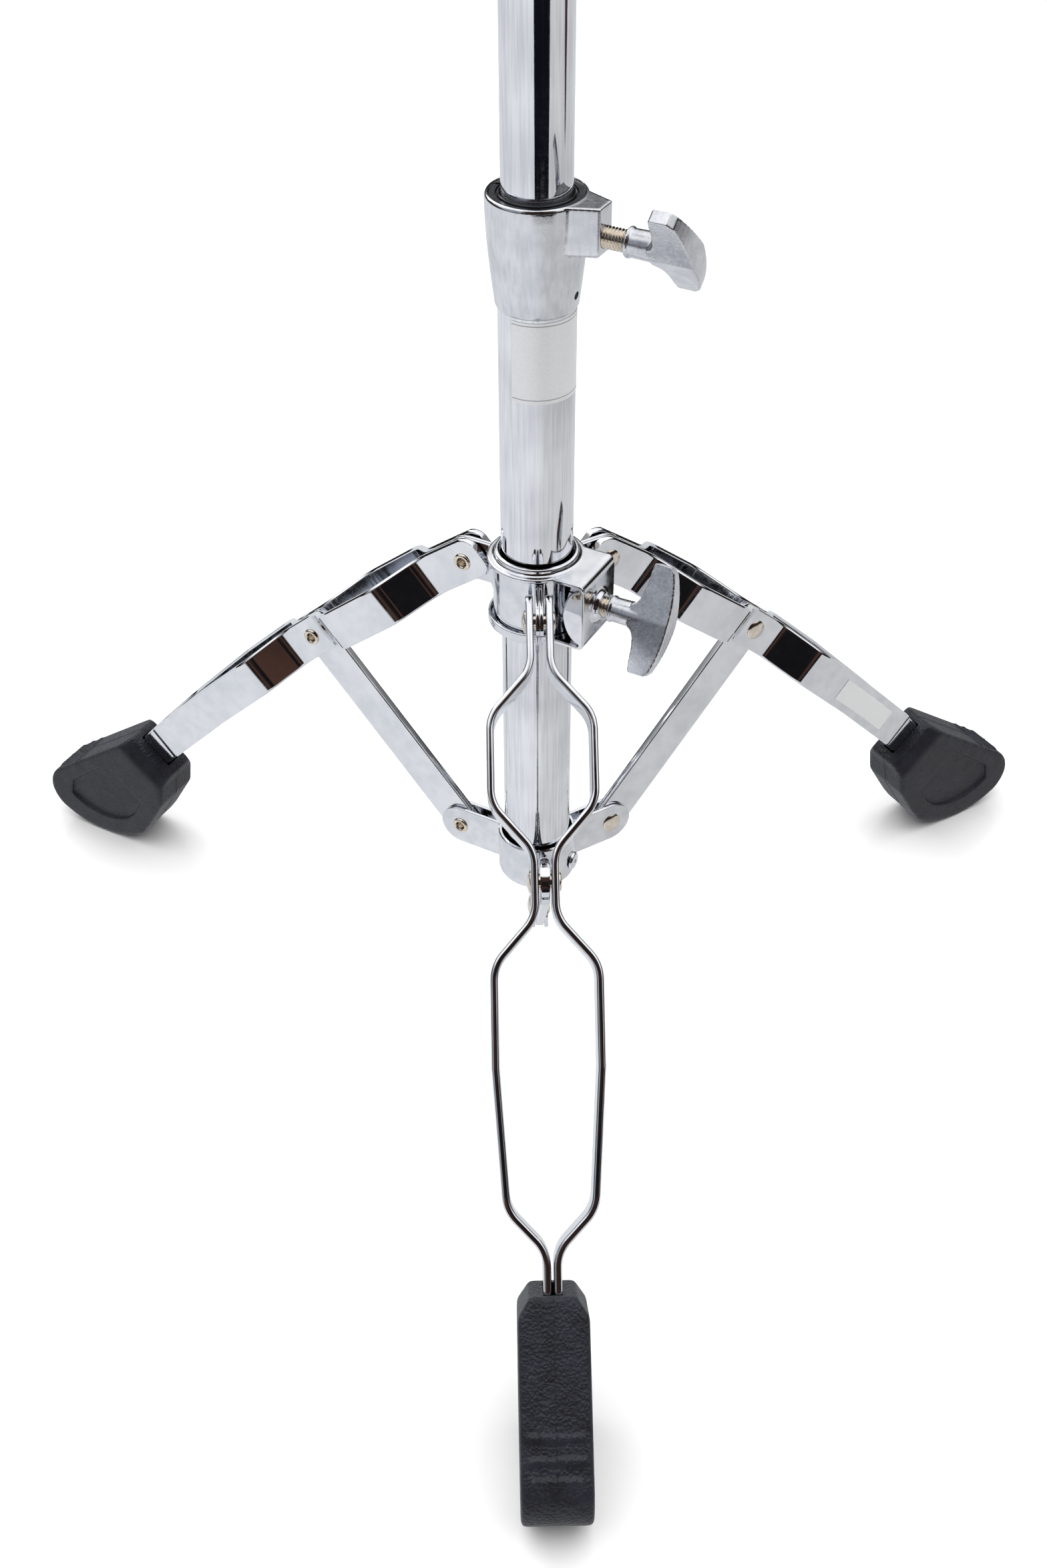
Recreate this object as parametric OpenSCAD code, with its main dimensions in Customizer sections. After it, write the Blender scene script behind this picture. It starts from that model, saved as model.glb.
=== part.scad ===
// Lower half of a double-braced drum stand: folding tripod, base tube,
// height clamp and the telescoping upper tube. Millimetres, +Z up.
// Z = 0 is the floor and the origin is the middle of the footprint.

/* [Tubes] */
// Outer diameter of the base tube
base_tube_d = 28.6; // [26:0.1:30]
// Outer diameter of the telescoping upper tube
upper_tube_d = 25.4; // [22:0.1:25.4]
// Wall thickness of both tubes
tube_wall = 1.2; // [1:0.1:1.3]
// Height of the upper tube's open end above the floor
upper_top_z = 466; // [440:1:500]
// Length of the upper tube
upper_tube_len = 300; // [240:5:300]

/* [Leg geometry] */
// Radius of the top leg pivots from the tube axis
top_pivot_r = 31.4; // [30:0.1:34]
// Height of the top leg pivots
top_pivot_z = 230.5; // [225:0.5:240]
// Radius of the pivots between leg and brace
mid_pivot_r = 110.2; // [105:0.1:115]
// Height of the pivots between leg and brace
mid_pivot_z = 167.1; // [162:0.1:172]
// Radius of the lower brace pivots
low_pivot_r = 37.6; // [35:0.1:40]
// Height of the lower brace pivots
low_pivot_z = 85.8; // [82:0.1:88]
// Slope of each leg below the horizontal, in degrees
leg_rake = 42.87; // [40:0.01:46]
// Radius of the leg's shallow edgewise arch
arch_r = 1160; // [900:10:2000]

/* [Straps] */
// Width of leg straps and braces
strap_w = 18; // [16:0.5:19]
// Thickness of a leg strap
strap_t = 3; // [2.5:0.1:3]
// Half distance between the two straps where they bow apart, on their centre lines
bow_half = 19.6; // [15:0.1:21]
// Bend radius of the straps on the centre line
bend_r = 14; // [5:0.5:16]
// Thickness of a brace
brace_t = 3.6; // [3:0.1:3.6]

/* [Feet] */
// Distance along the leg from the top pivot to the mouth of the rubber foot
foot_at = 250.5; // [245:0.5:258]
// Width of a rubber foot
foot_w = 26.4; // [22:0.2:30]
// Radius of the rolling sole
sole_r = 46.3; // [40:0.1:46.3]

/* [Clamps] */
// Direction of both clamp screws around the tube, in degrees
screw_az = -30; // [-35:1:-25]
// Height of the height clamp's screw
clamp_screw_z = 377; // [375:0.5:379]
// Height of the cross pin that holds the casting to the tube
clamp_pin_z = 353.2; // [352:0.1:355]
// Height of the leg collar's screw
collar_screw_z = 226; // [223:0.5:228]
// Diameter of the clamp screws
screw_d = 8; // [6:0.5:8]
// Tip-to-tip height of a wing
wing_h = 44; // [36:1:48]

/* [Hidden] */
$fn = 64;

// directions of the three legs around the tube
front_az = -90;
right_az = 30;
left_az = 150;

base_r = base_tube_d / 2;
upper_r = upper_tube_d / 2;
gap = 0.05;
eps = 0.5;

// farthest reach of a foot from the tube axis, which centres the footprint
toe_reach = 283.2;
rear_reach = toe_reach * sin(right_az) + foot_w / 2 * cos(right_az);
axis_y = (toe_reach - rear_reach) / 2;

// base tube and height clamp
base_bottom_z = 78;
base_top_z = 369;
clamp_top_z = 388.3;
clamp_bottom_z = 345.9;
clamp_rim_r = 18.4;
clamp_mouth_r = 17.05;
boss_face = 26.8;
boss_half = 4.7;
boss_bottom_z = 370.2;
pin_hole_r = 1.55;

// leg collar: three wrapped shells between the plates of a folded bracket
shell_in_r = 16.1;
shell_out_r = 17.6;
shell_bottom_z = 213.2;
ear_r = 9;
shell_top_z = top_pivot_z + ear_r;
ear_t = 1.15;
plate_t = 1.8;
plate_r = 19.8;
plate_top_z = shell_top_z + 0.2 + plate_t;
plate_bottom_z = shell_bottom_z - 0.2 - plate_t;
lip_in_r = 15.6;
lip_out_r = 16.9;
tongue_half = 13.5;
tongue_face = 27.8;

// lower collar: a pressed cup with three pairs of ears
cup_in_r = 15.5;
cup_out_r = 17.1;
cup_bottom_z = 74.5;
cup_top_z = 98;
low_ear_r = 9.7;
low_ear_in = brace_t / 2 + 0.2;
low_ear_out = low_ear_in + 1.6;

// pivots: the front leg carries the collar; the other two top pivots are
// opened up so that the folding chain can stay a tree
shank_r = 3;
pivot_r = shank_r + gap;
open_pivot_r = 4.8;

// leg frame: x along the chord of the arched strap, z square to it
chord = 257.07;
arch_drop = sqrt(arch_r * arch_r - chord * chord / 4);
strap_end = 281;
strap_start = -9.6;
strap_inner = 2.35;
foot_tilt = asin((foot_at - chord / 2) / arch_r);
foot_lift = sqrt(arch_r * arch_r - pow(foot_at - chord / 2, 2)) - arch_drop;

// centre line of one strap seen from above: [distance along the leg, offset]
waist = strap_inner + strap_t / 2;
strap_line = [
    [strap_start - 3, waist], [20.6, waist], [38.6, bow_half], [71.9, bow_half],
    [90, waist], [114.6, waist], [132.3, bow_half - 0.1], [170, bow_half - 0.1],
    [221.1, bow_half - 3.4], [236.2, 1.95], [strap_end, 1.95]
];

function unit(v) = v / norm(v);
function left_of(v) = [-v[1], v[0]];
function arc(c, r, a0, a1, n = 12) = [for (i = [0:n]) let (a = a0 + (a1 - a0) * i / n)
    c + r * [cos(a), sin(a)]];
function reversed(v) = [for (i = [len(v) - 1:-1:0]) v[i]];

// one rounded bend of a path at point b, moved sideways by off to the left
function bend(a, b, c, off, n = 8) =
    let (u = unit(b - a), v = unit(c - b),
         s = sign(u[0] * v[1] - u[1] * v[0]), turn = acos(min(1, u * v)),
         start = b - u * bend_r * tan(turn / 2), centre = start + left_of(u) * s * bend_r,
         a0 = atan2(start[1] - centre[1], start[0] - centre[0]))
    [for (i = [0:n]) let (w = a0 + s * turn * i / n)
        centre + (bend_r - s * off) * [cos(w), sin(w)]];

// a bent path moved sideways, and the outline of a strip along it
function path_side(p, off) = concat(
    [p[0] + left_of(unit(p[1] - p[0])) * off],
    [for (i = [1:len(p) - 2]) each bend(p[i - 1], p[i], p[i + 1], off)],
    [p[len(p) - 1] + left_of(unit(p[len(p) - 1] - p[len(p) - 2])) * off]);
function strip(p, t) = concat(path_side(p, t / 2), reversed(path_side(p, -t / 2)));

// everything is drawn around the tube axis
module stand() {
    translate([0, axis_y, 0]) children();
}

// x outwards along a leg, y to its left, z up
module leg(az) {
    stand() rotate([0, 0, az]) children();
}

// x along the leg strap from the top pivot, z square to the strap's edge
module strap_frame(az) {
    leg(az) translate([top_pivot_r, 0, top_pivot_z]) rotate([0, leg_rake, 0]) children();
}

// x along a clamp screw, at its height
module screw_frame(z) {
    stand() rotate([0, 0, screw_az]) translate([0, 0, z]) children();
}

module tube(r_out, r_in, z0, z1) {
    translate([0, 0, z0]) difference() {
        cylinder(r = r_out, h = z1 - z0, $fn = 96);
        translate([0, 0, -eps]) cylinder(r = r_in, h = z1 - z0 + 2 * eps, $fn = 96);
    }
}

// a cylinder along y, centred on y = 0
module cross(r, len) {
    rotate([90, 0, 0]) cylinder(r = r, h = len, center = true);
}

// ---- tubes -------------------------------------------------------------

module base_tube() {
    color("gainsboro") difference() {
        stand() tube(base_r, base_r - tube_wall, base_bottom_z, base_top_z);
        screw_frame(clamp_pin_z) rotate([0, 90, 0]) cylinder(r = pin_hole_r, h = 40, $fn = 32);
    }
}

module upper_tube() {
    color("gainsboro") stand()
        tube(upper_r, upper_r - tube_wall, upper_top_z - upper_tube_len, upper_top_z);
}

module tube_label() {
    color("whitesmoke") stand() rotate([0, 0, -130]) rotate_extrude(angle = 130, $fn = 96)
        translate([base_r, 314]) square([0.2, clamp_bottom_z - 314.2]);
}

// ---- height clamp ------------------------------------------------------

// outer profile of the casting, closed along the axis
module clamp_outline() {
    polygon(concat(
        [[0, clamp_top_z], [clamp_rim_r - 0.4, clamp_top_z]],
        arc([clamp_rim_r - 0.4, clamp_top_z - 0.4], 0.4, 90, 0, 4),
        [for (i = [0:10]) let (f = i / 10) [clamp_rim_r - 3 * pow(f, 1.7), clamp_top_z - 1 - f * 38]],
        arc([clamp_rim_r - 5.6, clamp_bottom_z + 2.6], 2.6, 0, -50, 5),
        [[base_r, clamp_bottom_z], [0, clamp_bottom_z]]));
}

module clamp_casting() {
    color("silver") difference() {
        union() {
            stand() rotate_extrude($fn = 96) clamp_outline();
            // wedge boss that carries the screw
            stand() rotate([0, 0, screw_az]) translate([0, 0, boss_bottom_z])
                linear_extrude(clamp_top_z - 0.1 - boss_bottom_z)
                    polygon([[boss_face, -boss_half], [boss_face, boss_half], [9, 11.6], [9, -11.6]]);
        }
        // socket for the base tube, shoulder, and mouth for the bushing
        stand() translate([0, 0, clamp_bottom_z - eps])
            cylinder(r = base_r + gap, h = base_top_z + 0.2 - clamp_bottom_z + eps, $fn = 96);
        stand() translate([0, 0, base_top_z]) cylinder(r = base_r - 0.6, h = 10, $fn = 96);
        stand() translate([0, 0, base_top_z + 1.2]) cylinder(r = clamp_mouth_r, h = 30, $fn = 96);
        screw_frame(clamp_screw_z) rotate([0, 90, 0]) cylinder(r = screw_d / 2 + gap, h = 40);
        // hole of the cross pin that holds the casting to the tube
        screw_frame(clamp_pin_z) rotate([0, 90, 0]) cylinder(r = pin_hole_r, h = 40, $fn = 32);
    }
}

// slotted plastic bushing that guides and grips the upper tube
module clamp_bushing() {
    z0 = base_top_z + 1.4;
    z1 = clamp_top_z - 0.9;
    color("dimgray") difference() {
        stand() rotate_extrude($fn = 96) polygon([
            [upper_r + 0.06, z0], [clamp_mouth_r - 0.15, z0], [clamp_mouth_r - 0.15, z1],
            [clamp_mouth_r - 2.6, z1], [clamp_mouth_r - 2.6, z1 - 0.7], [clamp_mouth_r - 3, z1 - 0.7],
            [clamp_mouth_r - 3, z1 + 0.3], [upper_r + 0.5, z1 + 0.3], [upper_r + 0.06, z1 - 0.4]]);
        stand() rotate([0, 0, 150]) translate([0, -0.8, z0 - eps]) cube([30, 1.6, 30]);
    }
}

module clamp_pin() {
    color("dimgray") screw_frame(clamp_pin_z) translate([base_r - tube_wall + 0.3, 0, 0])
        rotate([0, 90, 0]) cylinder(r = pin_hole_r - gap, h = 2.2, $fn = 32);
}

// ---- clamp screws ------------------------------------------------------

// plain shank; tip and root are distances from the tube axis
module screw_shank(tip, root) {
    translate([tip, 0, 0]) rotate([0, 90, 0]) cylinder(r = screw_d / 2, h = root - tip);
}

// die-cast wing on a hub, x = 0 at the hub's inner end
module wing() {
    hub_r = 5;
    side = wing_h / 2;
    length = 26.3;
    difference() {
        union() {
            rotate([0, 90, 0]) cylinder(r = 5.5, h = 1.6);
            rotate([0, 90, 0]) cylinder(r = hub_r, h = 14);
            intersection() {
                // outline seen from the side
                rotate([90, 0, 0]) linear_extrude(12, center = true) polygon(concat(
                    [[8, 4.6]],
                    arc([6.2, 17.2], 9.4, -52, 18, 8),
                    [[15.4, side], [21, side], [22.6, side - 1.4]],
                    arc([-32, 0], length + 32, 19, -19, 16),
                    [[22.6, 1.4 - side], [21, -side], [15.4, -side]],
                    arc([6.2, -17.2], 9.4, -18, 52, 8),
                    [[8, -4.6]]));
                // outline seen along the axis: thick in the middle, thin at the tips
                rotate([90, 0, 90]) linear_extrude(60, center = true) polygon([
                    [-5, 0], [-2.4, side - 1.5], [-1.6, side], [1.6, side], [2.4, side - 1.5],
                    [5, 0], [2.4, 1.5 - side], [1.6, -side], [-1.6, -side], [-2.4, 1.5 - side]]);
            }
        }
        translate([-eps, 0, 0]) rotate([0, 90, 0]) cylinder(r = screw_d / 2 + gap, h = 9);
    }
}

clamp_hub_at = 35.4;
collar_hub_at = 33.2;

module clamp_screw() {
    color("wheat") screw_frame(clamp_screw_z) screw_shank(clamp_mouth_r + 0.2, clamp_hub_at + 8.3);
}

module clamp_wing() {
    color("silver") screw_frame(clamp_screw_z) translate([clamp_hub_at, 0, 0]) rotate([39, 0, 0]) wing();
}

module collar_screw() {
    color("wheat") screw_frame(collar_screw_z) screw_shank(shell_out_r + 0.5, collar_hub_at + 8.3);
}

module collar_wing() {
    color("silver") screw_frame(collar_screw_z) translate([collar_hub_at, 0, 0]) rotate([-31, 0, 0]) wing();
}

// ---- leg collar --------------------------------------------------------

// one ear of a shell in the leg frame; side is +1 or -1 across the leg
module shell_ear(side, hole_r) {
    difference() {
        union() {
            translate([top_pivot_r, side * (ear_t / 2 + gap), top_pivot_z]) cross(ear_r, ear_t);
            translate([shell_in_r + 0.4, side > 0 ? gap : -gap - ear_t, top_pivot_z - ear_r])
                cube([top_pivot_r - shell_in_r - 0.4, ear_t, 2 * ear_r]);
        }
        translate([top_pivot_r, 0, top_pivot_z]) cross(hole_r, 10);
    }
}

// wrapped third between the legs at az and az + 120
module collar_shell(az, hole_a, hole_b) {
    color("silver") {
        difference() {
            leg(az) rotate_extrude(angle = 120, $fn = 96)
                translate([shell_in_r, shell_bottom_z])
                    square([shell_out_r - shell_in_r, shell_top_z - shell_bottom_z]);
            leg(az) translate([0, -30 + gap, 0]) cube([40, 30, 400]);
            leg(az + 120) translate([0, -gap, 0]) cube([40, 30, 400]);
        }
        leg(az) shell_ear(1, hole_a);
        leg(az + 120) shell_ear(-1, hole_b);
    }
}

module collar_shell_front_right() {
    collar_shell(front_az, pivot_r, open_pivot_r);
}

module collar_shell_back() {
    collar_shell(right_az, open_pivot_r, open_pivot_r);
}

module collar_shell_front_left() {
    collar_shell(left_az, open_pivot_r, pivot_r);
}

// plate with its tongue, x towards the screw
module plate(z) {
    screw_frame(z) cylinder(r = plate_r, h = plate_t, $fn = 96);
    screw_frame(z) translate([0, -tongue_half, 0]) cube([tongue_face, 2 * tongue_half, plate_t]);
}

// strip folded into a C: top plate, face and bottom plate, with rolled lips
module collar_bracket() {
    color("silver") difference() {
        union() {
            plate(plate_top_z - plate_t);
            plate(plate_bottom_z);
            stand() translate([0, 0, plate_top_z - eps]) cylinder(r = lip_out_r, h = 2.6 + eps, $fn = 96);
            stand() translate([0, 0, plate_bottom_z - 2.6])
                cylinder(r = lip_out_r, h = 2.6 + eps, $fn = 96);
            // face of the C
            screw_frame(plate_bottom_z) translate([tongue_face - plate_t, -tongue_half, 0])
                cube([plate_t, 2 * tongue_half, plate_top_z - plate_bottom_z]);
            // pressed boss around the screw
            screw_frame(collar_screw_z) translate([tongue_face - eps, 0, 0]) rotate([0, 90, 0])
                cylinder(r1 = 6.8, r2 = 5.4, h = 2.3, $fn = 48);
            // raised rim of the bottom plate, open towards the screw
            difference() {
                stand() translate([0, 0, plate_bottom_z + plate_t - eps])
                    cylinder(r = plate_r - 0.1, h = 2.4 + eps, $fn = 96);
                stand() translate([0, 0, plate_bottom_z + plate_t])
                    cylinder(r = plate_r - 1.3, h = 20, $fn = 96);
                screw_frame(plate_bottom_z) translate([0, -tongue_half, -eps])
                    cube([40, 2 * tongue_half, 20]);
            }
        }
        stand() translate([0, 0, plate_bottom_z - 10]) cylinder(r = lip_in_r, h = 60, $fn = 96);
        screw_frame(collar_screw_z) translate([20, 0, 0]) rotate([0, 90, 0])
            cylinder(r = screw_d / 2 + gap, h = 40);
        // rounded outer corners of the folds
        for (z = [plate_top_z, plate_bottom_z])
            screw_frame(z) translate([tongue_face, 0, 0]) rotate([0, 45, 0])
                cube([1.6, 60, 1.6], center = true);
    }
}

module collar_nut() {
    color("silver") difference() {
        screw_frame(collar_screw_z) translate([shell_out_r + 0.7, 0, 0]) rotate([0, 90, 0])
            cylinder(r = 10, h = tongue_face - plate_t - shell_out_r - 0.8);
        screw_frame(collar_screw_z) rotate([0, 90, 0]) cylinder(r = screw_d / 2 + gap, h = 40);
        stand() cylinder(r = shell_out_r + 0.3, h = 400, $fn = 96);
    }
}

// ---- lower collar ------------------------------------------------------

module lower_collar() {
    color("silver") difference() {
        union() {
            stand() rotate_extrude($fn = 96) polygon(concat(
                [[cup_in_r, cup_top_z], [cup_out_r, cup_top_z]],
                arc([cup_out_r - 4, cup_bottom_z + 4], 4, 0, -90, 8),
                [[8, cup_bottom_z], [8, cup_bottom_z + 1.6]],
                arc([cup_in_r - 2.4, cup_bottom_z + 4], 2.4, -90, 0, 6)));
            for (az = [front_az, right_az, left_az], side = [-1, 1]) leg(az) difference() {
                union() {
                    translate([low_pivot_r, side * (low_ear_in + low_ear_out) / 2, low_pivot_z])
                        cross(low_ear_r, low_ear_out - low_ear_in);
                    translate([cup_in_r + 0.2, 0, low_pivot_z - low_ear_r])
                        translate([0, side > 0 ? low_ear_in : -low_ear_out, 0])
                        cube([low_pivot_r - cup_in_r - 0.2, low_ear_out - low_ear_in, 2 * low_ear_r]);
                }
                translate([low_pivot_r, 0, low_pivot_z]) cross(pivot_r, 20);
            }
        }
        // the sheet is open between the two ears of a pair
        for (az = [front_az, right_az, left_az])
            leg(az) translate([cup_in_r - 1, -low_ear_in, cup_bottom_z + 4]) cube([30, 2 * low_ear_in, 40]);
        // hole of the rivet that fixes the cup to the tube
        leg(-25) translate([0, 0, 84]) rotate([0, 90, 0]) cylinder(r = 2.05, h = 30);
    }
}

module collar_tack_rivet() {
    color("silver") leg(-25) translate([base_r + 0.1, 0, 84]) rotate([0, 90, 0]) difference() {
        union() {
            cylinder(r = 2, h = 3);
            translate([0, 0, cup_out_r - base_r]) cylinder(r1 = 4.1, r2 = 2.9, h = 1.8);
        }
        translate([0, 0, 3.4]) cylinder(r = 0.8, h = 4, $fn = 32);
    }
}

// ---- rivets: domed head on one side, hollow rolled end on the other ----

// along y; half is the distance from the middle to the outer faces
module rivet(half) {
    head = 1.5;
    difference() {
        union() {
            cross(shank_r, 2 * half + 2);
            // domed head on the right-hand side of the leg
            translate([0, -half, 0]) rotate([90, 0, 0]) intersection() {
                cylinder(r = 4.5, h = head);
                translate([0, 0, head - 8]) sphere(r = 8, $fn = 64);
            }
            // rolled end on the left-hand side
            translate([0, half, 0]) rotate([-90, 0, 0]) rotate_extrude($fn = 64)
                translate([2.7, 0]) intersection() {
                    circle(r = 1, $fn = 24);
                    translate([-2, 0]) square([4, 2]);
                }
        }
        translate([0, half - 4, 0]) rotate([-90, 0, 0]) cylinder(r = 2, h = 20, $fn = 48);
    }
}

module top_rivet(az) {
    color("burlywood") leg(az) translate([top_pivot_r, 0, top_pivot_z]) rivet(strap_inner + strap_t + 0.02);
}

module mid_rivet(az) {
    color("burlywood") leg(az) translate([mid_pivot_r, 0, mid_pivot_z]) rivet(strap_inner + strap_t + 0.02);
}

module lower_rivet(az) {
    color("burlywood") leg(az) translate([low_pivot_r, 0, low_pivot_z]) rivet(low_ear_out + 0.02);
}

// ---- legs --------------------------------------------------------------

// the edgewise arch of a strap, as a band of the given width
module arch_band(width) {
    translate([chord / 2, 0, -arch_drop]) difference() {
        rotate([90, 0, 0]) cylinder(r = arch_r + width / 2, h = 60, center = true, $fn = 360);
        rotate([90, 0, 0]) cylinder(r = arch_r - width / 2, h = 62, center = true, $fn = 360);
    }
}

// side is +1 for the strap on the leg's left, -1 for the one on its right
module strap(az, side) {
    color("silver") difference() {
        strap_frame(az) intersection() {
            mirror([0, side > 0 ? 0 : 1, 0])
                translate([0, 0, -20]) linear_extrude(60) polygon(strip(strap_line, strap_t));
            arch_band(strap_w);
            // rounded corners of the upper end
            union() {
                translate([strap_start + 5, -30, -20]) cube([400, 60, 60]);
                for (z = [-4.6, 3.9]) translate([strap_start + 5, 0, z]) cross(5, 60);
                translate([strap_start, -30, -4.6]) cube([20, 60, 8.5]);
            }
        }
        leg(az) translate([top_pivot_r, 0, top_pivot_z]) cross(shank_r + 0.02, 60);
        leg(az) translate([mid_pivot_r, 0, mid_pivot_z]) cross(shank_r + 0.02, 60);
    }
}

// flat bar from the lower collar up to the leg, between the straps
module brace(az) {
    run = norm([mid_pivot_r - low_pivot_r, mid_pivot_z - low_pivot_z]);
    slope = atan2(mid_pivot_z - low_pivot_z, mid_pivot_r - low_pivot_r);
    color("silver") leg(az) translate([low_pivot_r, 0, low_pivot_z]) rotate([0, -slope, 0]) difference() {
        union() {
            cross(strap_w / 2, brace_t);
            translate([run, 0, 0]) cross(strap_w / 2, brace_t);
            translate([0, -brace_t / 2, -strap_w / 2]) cube([run, brace_t, strap_w]);
        }
        cross(pivot_r, 20);
        translate([run, 0, 0]) cross(pivot_r, 20);
    }
}

// side outline of the foot: x along the strap from the mouth, y square to it
sole_c = [35, 18];
toe_r = 15;
toe_c = sole_c + (sole_r - toe_r) * [cos(-10), sin(-10)];
module foot_outline() {
    polygon(concat([[0, 12.7]], arc(toe_c, toe_r, 103, -10, 14), arc(sole_c, sole_r, -10, -76, 24),
        [[38, -26.2], [16, -22.5], [6.5, -16.5], [0, -14.5]]));
}

module foot(az) {
    color("dimgray") difference() {
        strap_frame(az) translate([foot_at, 0, foot_lift]) rotate([0, foot_tilt, 0]) difference() {
            intersection() {
                rotate([90, 0, 0]) linear_extrude(foot_w, center = true) foot_outline();
                // corners cut back at the mouth
                translate([0, 0, -60]) linear_extrude(120) polygon([
                    [0, -8.5], [7.2, -foot_w / 2], [120, -foot_w / 2],
                    [120, foot_w / 2], [7.2, foot_w / 2], [0, 8.5]]);
            }
            // pocket for the strap ends
            translate([-1, -3.5, -9.7]) cube([strap_end - foot_at + 1.5, 7, 19.2]);
        }
        // flat that the rubber takes on the floor
        leg(az) translate([150, -50, -10]) cube([200, 100, 10]);
    }
}

// blank label on the outside of the right leg, bent with its strap
label_from = 157.5;
label_to = 204;
label_share = (label_to - strap_line[7][0]) / (strap_line[8][0] - strap_line[7][0]);
label_line = [
    [label_from, strap_line[7][1]],
    strap_line[7],
    strap_line[7] + (strap_line[8] - strap_line[7]) * label_share
];
module leg_label() {
    color("whitesmoke") strap_frame(right_az) intersection() {
        mirror([0, 1, 0]) translate([0, 0, -20]) linear_extrude(60)
            polygon(concat(
                path_side(label_line, strap_t / 2 + 0.2),
                reversed(path_side(label_line, strap_t / 2 + 0.02))));
        arch_band(10.6);
    }
}

base_tube();
tube_label();
clamp_casting();
clamp_bushing();
clamp_pin();
upper_tube();
clamp_screw();
clamp_wing();
lower_collar();
collar_tack_rivet();
lower_rivet(front_az);  // lower_rivet_front
lower_rivet(right_az);  // lower_rivet_right
lower_rivet(left_az);  // lower_rivet_left
collar_shell_front_right();
collar_shell_back();
collar_shell_front_left();
collar_bracket();
collar_nut();
collar_screw();
collar_wing();
strap(front_az, 1);  // front_strap_right
strap(front_az, -1);  // front_strap_left
top_rivet(front_az);  // front_top_rivet
mid_rivet(front_az);  // front_mid_rivet
foot(front_az);  // front_foot
brace(front_az);  // front_brace
strap(right_az, 1);  // right_strap_rear
strap(right_az, -1);  // right_strap_front
top_rivet(right_az);  // right_top_rivet
mid_rivet(right_az);  // right_mid_rivet
foot(right_az);  // right_foot
brace(right_az);  // right_brace
leg_label();
strap(left_az, 1);  // left_strap_front
strap(left_az, -1);  // left_strap_rear
top_rivet(left_az);  // left_top_rivet
mid_rivet(left_az);  // left_mid_rivet
foot(left_az);  // left_foot
brace(left_az);  // left_brace
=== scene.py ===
import math

import bmesh
import bpy
from mathutils import Matrix, Vector


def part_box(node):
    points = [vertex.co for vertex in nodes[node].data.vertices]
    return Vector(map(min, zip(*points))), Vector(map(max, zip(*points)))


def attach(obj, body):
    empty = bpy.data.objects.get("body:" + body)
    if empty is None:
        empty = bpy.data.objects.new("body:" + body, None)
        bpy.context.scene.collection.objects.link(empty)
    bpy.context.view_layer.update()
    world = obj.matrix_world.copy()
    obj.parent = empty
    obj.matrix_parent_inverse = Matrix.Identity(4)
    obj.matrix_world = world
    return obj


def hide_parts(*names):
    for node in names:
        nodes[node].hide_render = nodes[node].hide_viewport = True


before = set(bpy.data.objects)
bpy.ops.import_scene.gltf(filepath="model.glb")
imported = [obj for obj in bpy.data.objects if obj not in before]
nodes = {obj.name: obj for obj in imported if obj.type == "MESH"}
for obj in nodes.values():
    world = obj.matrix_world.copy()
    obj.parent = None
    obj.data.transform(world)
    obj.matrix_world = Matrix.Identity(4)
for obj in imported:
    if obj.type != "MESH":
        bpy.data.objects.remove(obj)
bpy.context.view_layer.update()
mm = 0.001
print("frame loaded:", len(nodes), "nodes")


# places, worked out from the frame

def middle(node):
    low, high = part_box(node)
    return (low + high) / 2


axisY = middle("base_tube").y / mm  # the tubes stand on x = 0, y = axisY
legTurn = {"front": -90, "right": 30, "left": 150}


def pivotOf(node):  # distance from the tube axis and height of a pivot on the front leg, in mm
    centre = middle(node)
    return axisY - centre.y / mm, centre.z / mm


topPivot = pivotOf("front_top_rivet")
midPivot = pivotOf("front_mid_rivet")
lowPivot = pivotOf("lower_rivet_front")


def turned(degrees, axis):
    return Matrix.Rotation(math.radians(degrees), 4, axis)


def standFrame():
    return Matrix.Translation((0, axisY, 0))


def legFrame(leg):  # x outwards along the leg, y to its left, z up
    return standFrame() @ turned(legTurn[leg], "Z")


def pivotFrame(leg, pivot):  # the leg's frame moved to one of its pivots
    return legFrame(leg) @ Matrix.Translation((pivot[0], 0, pivot[1]))


def screwFrame(z):  # x along a clamp screw, at its height
    return standFrame() @ turned(-30, "Z") @ Matrix.Translation((0, 0, z))


# small modelling helpers, all in millimetres

def arcOf(centre, radius, start, end, steps):
    points = []
    for i in range(steps + 1):
        a = math.radians(start + (end - start) * i / steps)
        points.append((centre[0] + radius * math.cos(a), centre[1] + radius * math.sin(a)))
    return points


def outline(points, closed=True, plane="xz"):  # a wire through a few points
    bm = bmesh.new()
    lift = {"xz": lambda p: (p[0], 0, p[1]), "xy": lambda p: (p[0], p[1], 0)}[plane]
    verts = [bm.verts.new(lift(p)) for p in points]
    for a, b in zip(verts, verts[1:]):
        bm.edges.new((a, b))
    if closed:
        bm.edges.new((verts[-1], verts[0]))
    return bm


def spun(points, closed=True, steps=96):  # (radius, height) turned once round z
    bm = outline(points, closed)
    bmesh.ops.spin(bm, geom=bm.verts[:] + bm.edges[:], cent=(0, 0, 0), axis=(0, 0, 1),
                   angle=math.tau, steps=steps, use_merge=True, use_duplicate=False)
    bmesh.ops.remove_doubles(bm, verts=bm.verts[:], dist=0.0005)
    bmesh.ops.recalc_face_normals(bm, faces=bm.faces[:])
    return bm


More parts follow.
